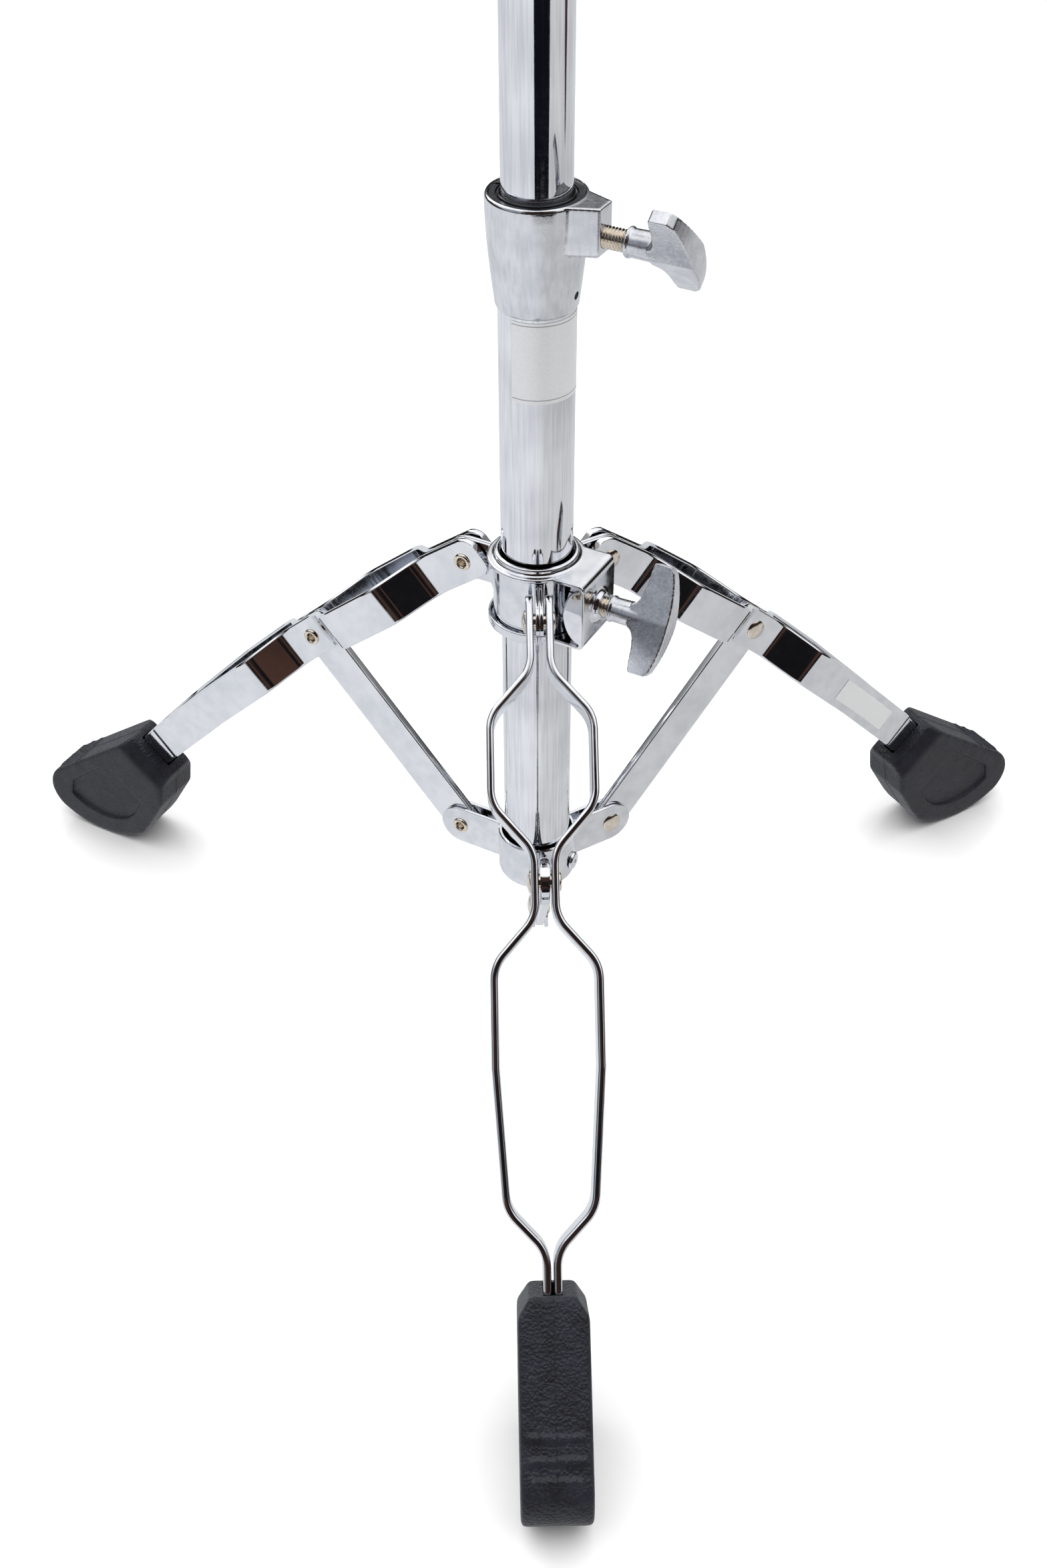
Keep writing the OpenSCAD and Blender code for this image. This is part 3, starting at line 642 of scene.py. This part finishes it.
def bracketMesh():
    s = bracketShape
    t = s["thick"]
    topZ, lowZ = topPivot[1] + 9 + 0.2 + t, shellShape["low"] - 0.2 - t
    bend = 3.0
    skin = added(*[spun([(13, edge - way * t), (s["plate"] - 0.3, edge - way * t),
                         (s["plate"], edge - way * (t - 0.3)), (s["plate"], edge - way * 0.3),
                         (s["plate"] - 0.3, edge), (s["lipOut"] + 1, edge),
                         (s["lipOut"] + 0.3, edge + way * 0.3),
                         (s["lipOut"], edge + way), (s["lipOut"], edge + way * 2.2),
                         (s["lipOut"] - 0.4, edge + way * 2.6), (13, edge + way * 2.6)], True, 96)
                   for edge, way in ((topZ, 1), (lowZ, -1))])
    # the strip is drawn lying down, then stood up so that its bends run round the face
    fold = strip(t, 2 * s["half"], 0.4, (11, topZ - t / 2, 0), (1, 0, 0),
                 [("go", s["face"] - 11 - bend, 2), ("turn", bend - t / 2, -90, 8),
                  ("go", topZ - lowZ - 2 * bend, 4), ("turn", bend - t / 2, -90, 8),
                  ("go", s["face"] - 11 - bend, 2)])
    placed(fold, turned(90, "X"))
    boss = spun([(0, -1), (7.6, -1), (7.2, 0), (6.2, 0.5), (5.6, 1.9), (5.2, 2.3), (0, 2.3)], False, 48)
    boss = placed(boss, Matrix.Translation((s["face"], 0, collarScrewZ)) @ turned(90, "Y"))
    edge, rimTop = s["plate"], lowZ + t + 2.4
    rim = spun([(edge - 1.3, lowZ + 0.4), (edge - 0.1, lowZ + 0.4), (edge - 0.1, rimTop - 0.3),
                (edge - 0.4, rimTop), (edge - 1.0, rimTop), (edge - 1.3, rimTop - 0.3)], True, 96)
    # short rounded flanges turned in from the face's two sides
    flanges = [slab(arcOf((0, 0), 1, 90, 270, 16), way * (s["half"] - 1.7), way * s["half"])
               for way in (1, -1)]
    for flange in flanges:
        bmesh.ops.scale(flange, vec=(8.2, 1, 12.6), verts=flange.verts[:])
        placed(flange, Matrix.Translation((s["face"] - 1, 0, collarScrewZ + 0.4)))
    wide = s["half"] + 0.6
    opening = slab([(6, -wide), (40, -wide), (40, wide), (6, wide)], lowZ + t, lowZ + 20, "xy")
    rim = cut(rim, opening)
    whole = melted(added(skin, fold, boss, rim, *flanges), 0.33, 4)
    whole = cut(whole, rod(s["lipIn"], lowZ - 10, topZ + 10, 96))
    return cut(whole, placed(rod(screwHole, 15, 40, 48),
                             Matrix.Translation((0, 0, collarScrewZ)) @ turned(90, "Y")))


makeShells()
piece("collarBracket", bracketMesh(), screwFrame(0), pressedChrome, "leg_collar",
      ["collar_bracket"], 50)
print("leg collar made")


# lower collar

cupShape = {"inner": 15.5, "outer": 17.1, "low": 74.5, "high": 98, "earRadius": 9.7, "earIn": 2.0,
            "thick": 1.6, "fold": 2.6, "tackTurn": -25, "tackZ": 84}


def makeCup():
    s = cupShape
    cup = spun([(s["inner"], s["high"] - 0.3), (s["inner"] + 0.3, s["high"]), (s["outer"] - 0.4, s["high"]),
                (s["outer"], s["high"] - 0.4)] + arcOf((s["outer"] - 4, s["low"] + 4), 4, 0, -90, 8)
               + [(8.2, s["low"]), (8, s["low"] + 0.3), (8, s["low"] + 1.4), (8.2, s["low"] + 1.6)]
               + arcOf((s["inner"] - 2.4, s["low"] + 4), 2.4, -90, 0, 6), True, 128)
    f, t = s["fold"], s["thick"]
    off = s["earIn"] + t / 2
    wall = s["outer"] - t / 2 - 0.04  # the fold runs out just under the cup's skin
    swing = math.degrees(math.asin((off + f) / (wall + f)))
    foldX = math.sqrt((wall + f) ** 2 - (off + f) ** 2)
    moves = roundEnd(s["earRadius"]) + [("go", lowPivot[0] - foldX, 6), ("turn", f, swing - 90, 8)]
    low, high = lowPivot[1] - s["earRadius"], lowPivot[1] + s["earRadius"]
    tip = (lowPivot[0] + s["earRadius"] - 0.02, off, lowPivot[1])
    for leg in legTurn:
        for side in (1, -1):
            ear = strip(t, 2 * s["earRadius"], 0.45, tip, (-1, 0, 0), moves)
            earHeights(ear, lowPivot[0], lowPivot[1], s["earRadius"], low, high, 17, 20)
            ear = cut(ear, placed(rod(rivetHole, -8, 8, 48),
                                  Matrix.Translation((lowPivot[0], 0, lowPivot[1])) @ turned(90, "X")))
            if side < 0:
                placed(ear, Matrix.Scale(-1, 4, (0, 1, 0)))
                bmesh.ops.reverse_faces(ear, faces=ear.faces[:])
            added(cup, placed(ear, turned(legTurn[leg], "Z")))
    cup = cut(cup, placed(rod(2.05, 10, 30, 32), turned(s["tackTurn"], "Z")
                          @ Matrix.Translation((0, 0, s["tackZ"])) @ turned(90, "Y")))
    piece("lowerCollar", cup, standFrame(), pressedChrome, "base", ["lower_collar"])


def makeTackRivet():
    # small chromed blind rivet with the mandrel hole in its head
    s = cupShape
    bm = spun([(0, 0.2), (1.95, 0.2), (1.95, 2.8), (4.0, 2.85), (4.1, 3.1)]
              + arcOf((2.9, 3.25), 1.15, 5, 80, 5) + [(1.1, 4.45), (0.85, 4.3), (0.8, 3.4), (0, 3.2)],
              False, 48)
    place = (standFrame() @ turned(s["tackTurn"], "Z")
             @ Matrix.Translation((tubeShape["baseRadius"], 0, s["tackZ"])) @ turned(90, "Y"))
    piece("collarTackRivet", bm, place, stripChrome, "base", ["collar_tack_rivet"])


makeCup()
makeTackRivet()
print("lower collar made")


# pivot rivets

rivetShape = {"shank": 3.0, "head": 4.5, "dome": 1.15, "edge": 0.35, "roll": 0.95, "rollAt": 2.85}


def rivetMesh(half):
    # domed head at the -y end, hollow rolled end at the +y end
    s = rivetShape
    radius = (s["head"] ** 2 + s["dome"] ** 2) / (2 * s["dome"])
    lean = math.degrees(math.asin((s["head"] - 0.15) / radius))
    dome = [(r, z) for z, r in arcOf((-half - s["edge"] - s["dome"] + radius, 0), radius, 180, 180 - lean, 8)]
    roll = arcOf((s["rollAt"], half), s["roll"], 0, 180, 10)
    bm = spun([(0, dome[0][1])] + dome[1:] + [(s["head"], -half - 0.25), (s["head"] - 0.15, -half),
               (s["shank"], -half), (s["shank"], half)] + roll
              + [(1.9, half - 3.2), (1.2, half - 3.8), (0, half - 3.9)], False, 48)
    return placed(bm, turned(-90, "X"))


strapHalf = 2.35 + 3 + 0.02
earHalf = 2 + 1.6 + 0.02
for leg in legTurn:
    for level, pivot in (("top", topPivot), ("mid", midPivot)):
        piece(leg + "Rivet_" + level, rivetMesh(strapHalf), pivotFrame(leg, pivot), warmNickel,
              leg + "_leg", [leg + "_" + level + "_rivet"])
    piece("lowerRivet_" + leg, rivetMesh(earHalf), pivotFrame(leg, lowPivot), warmNickel,
          "base", ["lower_rivet_" + leg])
print("rivets made")


# legs

strapShape = {"width": 18, "thick": 3, "edge": 1.15, "bendRadius": 14, "rake": 42.87, "arch": 1160,
              "chord": 257.07, "start": -9.6, "end": 281, "waist": 3.85, "upperBow": 19.6,
              "lowerBow": 19.5, "lowerBowEnd": 16.2, "pinch": 1.95, "corner": 5}
braceShape = {"thick": 3.6, "width": 18, "edge": 0.7}


def archLift(x):  # how far the edgewise arch lifts the strap above the line between its pivots
    s = strapShape
    half = s["chord"] / 2
    return math.sqrt(s["arch"] ** 2 - (x - half) ** 2) - math.sqrt(s["arch"] ** 2 - half ** 2)


def strapRoute():  # along the leg and out from its middle: two waists, two bows, then the foot
    s = strapShape
    return [(s["start"], s["waist"]), (20.6, s["waist"]), (38.6, s["upperBow"]), (71.9, s["upperBow"]),
            (90, s["waist"]), (114.6, s["waist"]), (132.3, s["lowerBow"]), (170, s["lowerBow"]),
            (221.1, s["lowerBowEnd"]), (236.2, s["pinch"]), (s["end"], s["pinch"])]


def strapMesh(side):
    s = strapShape
    moves = movesAlong(strapRoute(), s["bendRadius"])
    first = moves[0][1]
    corner = s["corner"]
    moves = roundEnd(corner, 6) + [("go", first - corner, 3)] + moves[1:]
    bm = strip(s["thick"], s["width"], s["edge"], (s["start"], s["waist"], 0), (1, 0, 0), moves)
    for v in bm.verts:  # rounded corners of the upper end, then the edgewise arch
        into = v.co.x - s["start"]
        if into < corner:
            drop = corner - math.sqrt(max(0, corner ** 2 - (corner - into) ** 2))
            v.co.z *= (s["width"] / 2 - drop) / (s["width"] / 2)
        v.co.z += archLift(v.co.x)
    if side < 0:
        placed(bm, Matrix.Scale(-1, 4, (0, 1, 0)))
        bmesh.ops.reverse_faces(bm, faces=bm.faces[:])
    placed(bm, turned(s["rake"], "Y"))
    for r, z in ((0, 0), (midPivot[0] - topPivot[0], midPivot[1] - topPivot[1])):
        bm = cut(bm, placed(rod(3.02, -30, 30, 48), Matrix.Translation((r, 0, z)) @ turned(90, "X")))
    return bm


def braceMesh():
    s = braceShape
    run = math.hypot(midPivot[0] - lowPivot[0], midPivot[1] - lowPivot[1])
    half = s["width"] / 2
    ends = roundEnd(half)
    bm = strip(s["thick"], s["width"], s["edge"], (-half + 0.02, 0, 0), (1, 0, 0),
               ends + [("go", run, 6)] + list(reversed(ends)))
    for v in bm.verts:
        over = max(-v.co.x, v.co.x - run, 0)
        v.co.z *= math.sqrt(max(0.002, 1 - (over / half) ** 2))
    for x in (0, run):
        bm = cut(bm, placed(rod(rivetHole, -10, 10, 48), Matrix.Translation((x, 0, 0)) @ turned(90, "X")))
    return bm


strapSides = {"front": (("front_strap_right", 1), ("front_strap_left", -1)),
              "right": (("right_strap_rear", 1), ("right_strap_front", -1)),
              "left": (("left_strap_front", 1), ("left_strap_rear", -1))}
braceSlope = math.degrees(math.atan2(midPivot[1] - lowPivot[1], midPivot[0] - lowPivot[0]))
for leg, pair in strapSides.items():
    for nodeName, side in pair:
        piece(nodeName.replace("strap", "Strap"), strapMesh(side), pivotFrame(leg, topPivot), stripChrome,
              leg + "_leg", [nodeName])
    piece(leg + "Brace", braceMesh(), pivotFrame(leg, lowPivot) @ turned(-braceSlope, "Y"),
          stripChrome, leg + "_brace", [leg + "_brace"])
print("straps and braces made")


# rubber feet

footShape = {"at": 250.5, "width": 26.4, "soleCentre": (35, 18), "sole": 46.3, "toe": 15}


def footSeat(x):  # the foot's own frame on the arched strap
    s = strapShape
    tilt = math.degrees(math.asin((x - s["chord"] / 2) / s["arch"]))
    return turned(s["rake"], "Y") @ Matrix.Translation((x, 0, archLift(x))) @ turned(tilt, "Y")


def footMesh():
    s = footShape
    half = s["width"] / 2
    cx, cz = s["soleCentre"]
    lean = math.radians(-10)
    reach = s["sole"] - s["toe"]
    toeCentre = (cx + reach * math.cos(lean), cz + reach * math.sin(lean))
    side = ([(0, 12.7)] + arcOf(toeCentre, s["toe"], 103, -10, 14) + arcOf((cx, cz), s["sole"], -10, -76, 24)
            + [(38, -26.2), (16, -22.5), (6.5, -16.5), (0, -14.5)])
    body = slab(side, -half, half, "xz")
    plan = slab([(-1, -8.5), (0, -8.5), (7.2, -half), (120, -half), (120, half), (7.2, half), (0, 8.5),
                 (-1, 8.5)], -60, 60, "xy")
    body = melted(cut(body, plan, "INTERSECT"), 0.7, 12)
    # fan-shaped hollow pressed into each side face
    fan = ([(27, 11.5), (58, 17.5)] + arcOf((35, 14), 31.5, -2, -72, 16) + [(38, -16.5), (27, -14.5)])
    for way in (1, -1):
        body = cut(body, slab(fan, way * (half - 1.6), way * (half + 2), "xz"))
    # cross ribs on the toe, and the lip at its end
    for x, z in ((47, 22.7), (54.6, 24.5)):
        added(body, placed(rod(1.7, -10.4, 10.4, 24), Matrix.Translation((x, 0, z)) @ turned(90, "X")))
    lip = placed(rod(1.9, -9.2, 9.2, 24), Matrix.Translation((61.5, 0, 26)) @ turned(90, "X"))
    added(body, lip)
    body = melted(body, 0.5, 4)
    for y in (-0.35, 0.35, 0):  # the mould's parting line stands a little proud
        bmesh.ops.bisect_plane(body, geom=body.verts[:] + body.edges[:] + body.faces[:],
                               plane_co=(0, y, 0), plane_no=(0, 1, 0))
    body.normal_update()
    for v in body.verts:
        if abs(v.co.y) < 0.01:
            v.co += v.normal * 0.2
    pocket = slab([(-2, -3.6), (29, -3.6), (31, -2.6), (31, 2.6), (29, 3.6), (-2, 3.6)], -9.7, 9.5, "xy")
    body = cut(body, pocket)
    return placed(body, footSeat(s["at"]))


def makeFoot(leg):
    body = footMesh()
    for v in body.verts:  # the rubber is squashed flat where it stands
        v.co.z = max(v.co.z, -topPivot[1])
    obj = piece(leg + "Foot", body, pivotFrame(leg, topPivot),
                [grainRubber, smoothRubber], leg + "_leg", [leg + "_foot"], 50)
    across = legFrame(leg).to_3x3() @ Vector((0, 1, 0))
    for face in obj.data.polygons:  # the side faces are moulded smooth
        if abs(face.normal.dot(across)) > 0.75:
            face.material_index = 1


for leg in legTurn:
    makeFoot(leg)
print("feet made")


# carried-over CAD nodes get their own finishes

def dress(nodeName, material):
    obj = nodes[nodeName]
    obj.data.materials.clear()
    obj.data.materials.append(material)


labelLow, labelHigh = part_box("tube_label")
dress("tube_label", filmLook("tubeLabelFilm", "#e9eaec", labelLow.z + 1.6 * mm, labelHigh.z - 1.2 * mm))
dress("leg_label", filmLook("legLabelFilm", "#eceded", -1, -2))  # blank: its lines lie far below
dress("clamp_pin", darkSteel)
dress("collar_nut", stripChrome)


# camera, floor and light

viewShape = {"place": (-0.0161, -0.5472, 0.6347), "yaw": 0.956, "pitch": 39.9, "roll": -0.352, "lens": 42.0}


def makeCamera():
    s = viewShape
    camera = bpy.data.cameras.new("camera")
    camera.lens = s["lens"]
    camera.sensor_width = 36
    obj = bpy.data.objects.new("camera", camera)
    bpy.context.scene.collection.objects.link(obj)
    obj.matrix_world = (Matrix.Translation(s["place"]) @ turned(-s["yaw"], "Z") @ turned(90 - s["pitch"], "X")
                        @ turned(s["roll"], "Z"))
    bpy.context.scene.camera = obj


def makeFloor():
    bm = bmesh.new()
    bmesh.ops.create_grid(bm, x_segments=2, y_segments=2, size=4)
    obj = asObject(bm, "floor")
    material = newLook("paleFloor", {"Base Color": srgb("#fafafa"), "Roughness": 0.1,
                                     "Specular IOR Level": 0.3})[0]
    obj.data.materials.append(material)
    obj.visible_glossy = False


def glowing(obj, shade):  # an even glow for a studio surface that casts and takes no light
    material = bpy.data.materials.new(obj.name)
    material.use_nodes = True
    tree = material.node_tree
    tree.nodes.clear()
    glow = node(tree, "ShaderNodeEmission", {"Color": srgb(shade)})
    node(tree, "ShaderNodeOutputMaterial", None, {"Surface": glow.outputs[0]})
    obj.data.materials.append(material)
    obj.visible_diffuse = False
    obj.visible_shadow = False
    obj.visible_transmission = False


def makeBackdrop():
    # a pale dome that only the camera sees, so that low views end in plain studio grey
    bm = bmesh.new()
    bmesh.ops.create_uvsphere(bm, u_segments=64, v_segments=32, radius=3.6)
    obj = asObject(bm, "backdrop")
    glowing(obj, "#f4f4f5")
    obj.visible_glossy = False


def makeCard(name, points, shade):
    # a sheet on the floor that only polished metal sees, beyond the pale paper
    bm = outline(points, True, "xy")
    bmesh.ops.contextual_create(bm, geom=bm.edges[:])
    placed(bm, Matrix.Translation((0, axisY * mm, 0.001)))
    obj = asObject(bm, name)
    glowing(obj, shade)
    obj.visible_camera = False


def makeLight(name, place, aim, size, watts, inMetal):
    light = bpy.data.lights.new(name, "AREA")
    light.shape = "RECTANGLE"
    light.size, light.size_y = size
    light.energy = watts
    obj = bpy.data.objects.new(name, light)
    bpy.context.scene.collection.objects.link(obj)
    obj.location = place
    obj.rotation_mode = "QUATERNION"
    obj.rotation_quaternion = (Vector(aim) - Vector(place)).to_track_quat("-Z", "Y")
    obj.visible_glossy = inMetal
    obj.visible_camera = False


# (place from 0 to 1, linear brightness, warmth): the table by bearing, the open sky by height
worldShape = {
    "table": [(0, 0.76, -0.03), (0.32, 0.86, -0.02), (0.48, 0.84, -0.02), (0.56, 0.68, 0), (0.8, 0.64, 0),
              (0.95, 0.7, -0.02)],
    "sky": [(0, 0.016, 0.25), (0.3, 0.012, 0.2), (0.42, 0.3, 0), (0.56, 1.05, 0), (1, 1.3, 0)],
    "darkWall": (0.008, 0.008, 0.009, 1), "brownWall": (0.085, 0.042, 0.03, 1),
    "corner": (0.33, 0.35, 0.39, 1), "wallWay": (0.05, -0.86, 0.51), "cornerWay": (-0.77, -0.45, 0.45)}


def makeWorld():
    # a pale table below, a dark room round the horizon and soft white light above
    s = worldShape
    world = bpy.data.worlds.new("studio")
    bpy.context.scene.world = world
    world.use_nodes = True
    tree = world.node_tree
    tree.nodes.clear()
    way = node(tree, "ShaderNodeTexCoord").outputs["Generated"]
    axes = node(tree, "ShaderNodeSeparateXYZ", None, {"Vector": way})
    back = node(tree, "ShaderNodeMath", {"operation": "MULTIPLY", 1: -1}, {0: axes.outputs[1]})
    bearing = node(tree, "ShaderNodeMath", {"operation": "ARCTAN2"}, {0: axes.outputs[0], 1: back.outputs[0]})
    share = node(tree, "ShaderNodeMapRange", spread(-math.pi, math.pi, 0, 1), {"Value": bearing.outputs[0]})
    layers = {}
    for layer, source in (("table", share.outputs[0]), ("sky", axes.outputs[2])):
        made = node(tree, "ShaderNodeValToRGB", None, {"Fac": source})
        elements = made.color_ramp.elements
        elements.remove(elements[1])
        for i, (position, level, warmth) in enumerate(s[layer]):
            stop = elements[0] if i == 0 else elements.new(position)
            stop.position = position
            stop.color = (level * (1 + warmth), level, level * (1 - warmth), 1)
        layers[layer] = made.outputs[0]
    # a dark wall with brown furniture behind the viewer
    clutter = node(tree, "ShaderNodeTexNoise", {"Scale": 7, "Detail": 2}, {"Vector": way})
    brown = node(tree, "ShaderNodeMapRange", spread(0.47, 0.6, 0, 1), {"Value": clutter.outputs[0]})
    wall = node(tree, "ShaderNodeMix", {"data_type": "RGBA", 6: s["darkWall"], 7: s["brownWall"]},
                {0: brown.outputs[0]})
    facing = node(tree, "ShaderNodeVectorMath", {"operation": "DOT_PRODUCT", 1: s["wallWay"]}, {0: way})
    atWall = node(tree, "ShaderNodeMapRange", spread(0.74, 0.84, 0, 1), {"Value": facing.outputs["Value"]})
    sky = node(tree, "ShaderNodeMix", {"data_type": "RGBA"},
               {0: atWall.outputs[0], 6: layers["sky"], 7: wall.outputs[2]})
    # a grey corner of the room at the front left
    aside = node(tree, "ShaderNodeVectorMath", {"operation": "DOT_PRODUCT", 1: s["cornerWay"]}, {0: way})
    atCorner = node(tree, "ShaderNodeMapRange", spread(0.9, 0.96, 0, 1), {"Value": aside.outputs["Value"]})
    sky = node(tree, "ShaderNodeMix", {"data_type": "RGBA", 7: s["corner"]},
               {0: atCorner.outputs[0], 6: sky.outputs[2]})
    above = node(tree, "ShaderNodeMapRange", spread(-0.1, -0.05, 0, 1), {"Value": axes.outputs[2]})
    both = node(tree, "ShaderNodeMix", {"data_type": "RGBA"},
                {0: above.outputs[0], 6: layers["table"], 7: sky.outputs[2]})
    glow = node(tree, "ShaderNodeBackground", {"Strength": 1.0}, {"Color": both.outputs[2]})
    node(tree, "ShaderNodeOutputWorld", None, {"Surface": glow.outputs[0]})


def sector(near, far, start, end):  # part of a ring about the tube; 0 degrees is the front
    inner = [(near * math.sin(math.radians(a)), -near * math.cos(math.radians(a)))
             for a in range(start + 6, end - 5, 3)]
    outer = [(far * math.sin(math.radians(a)), -far * math.cos(math.radians(a)))
             for a in range(start, end + 1, 3)]
    return inner + outer[::-1]


makeCamera()
makeFloor()
makeBackdrop()
makeWorld()
makeLight("overhead", (0, 0.2, 2.6), (0, 0.2, 0), (6.0, 6.0), 120, False)
makeLight("backBox", (-1.2, 1.5, 1.5), (0, 0.05, 0.2), (1.0, 1.2), 8, True)
makeCard("darkRoomFront", sector(0.9, 3.5, -14, 40), "#12131a")
makeCard("darkRoomRight", sector(1.1, 3.5, 84, 104), "#4a363c")
bpy.context.scene.view_settings.view_transform = "Standard"
print("stage set")
